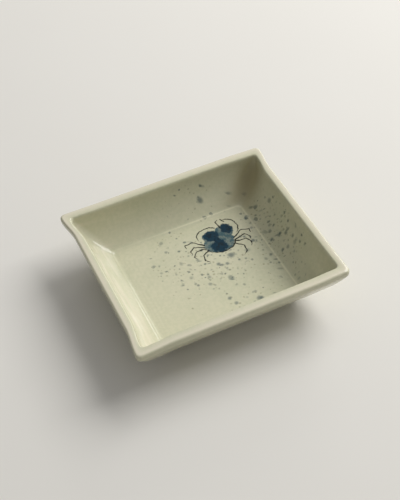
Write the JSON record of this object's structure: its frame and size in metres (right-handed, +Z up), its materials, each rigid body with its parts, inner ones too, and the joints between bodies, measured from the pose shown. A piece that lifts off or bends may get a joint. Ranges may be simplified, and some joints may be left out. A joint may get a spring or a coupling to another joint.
{
  "type": "sauce dish",
  "caption": "Small square porcelain dish with sloping hollowed walls, a rounded lip, unevenly drawn-out corners and a low square foot, for dipping sauce or condiments.",
  "frame": {"origin": "on the table, under the middle of the rim's outline", "axes": "+X along the longer side, towards the right; +Y towards the back; +Z up"},
  "size_m": [0.1062, 0.0956, 0.026],
  "materials": {
    "porcelain": "bare fired porcelain, matt, pale warm grey",
    "clear_glaze": "very glossy clear glaze, grey-green cream, over underglaze painting in cobalt blue and iron black"
  },
  "bodies": {
    "root": {"porcelain_body": "porcelain", "foot_ring": "porcelain", "glaze_coat": "clear_glaze", "base_glaze": "clear_glaze"}
  },
  "joints": []
}
